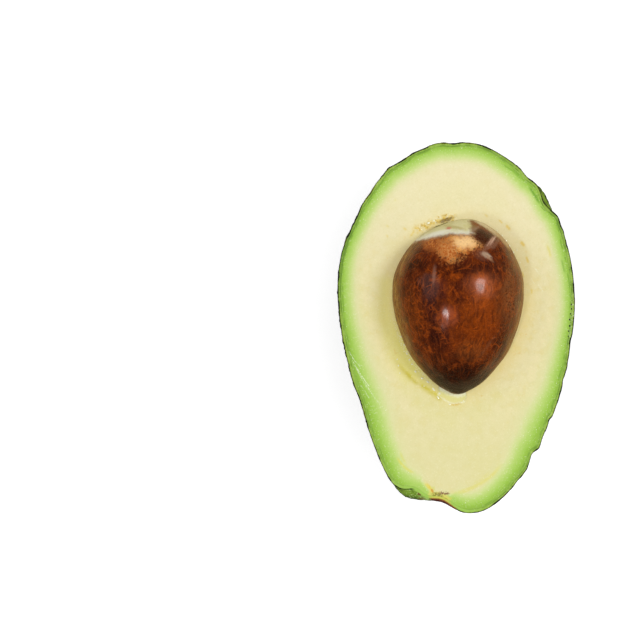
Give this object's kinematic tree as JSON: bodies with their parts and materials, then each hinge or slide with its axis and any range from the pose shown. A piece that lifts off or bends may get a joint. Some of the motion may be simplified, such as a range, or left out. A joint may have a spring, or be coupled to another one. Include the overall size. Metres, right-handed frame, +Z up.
{
  "type": "avocado half",
  "caption": "Ripe avocado cut in half lengthwise, lying cut face up with its pit still seated in the flesh.",
  "frame": {"origin": "middle of the outline, on the surface that the half lies on", "axes": "+Z up out of the cut face, +Y along the fruit to its blossom end, -Y to the stem end"},
  "size_m": [0.0642, 0.1, 0.049],
  "materials": {
    "skin": "pebbled dark green rind, slightly waxy",
    "flesh": "moist cream flesh, green towards the skin",
    "pit": "smooth fibrous brown seed coat, semi-gloss"
  },
  "bodies": {
    "root": {"skin": "skin", "flesh": "flesh", "pit": "pit"}
  },
  "joints": []
}
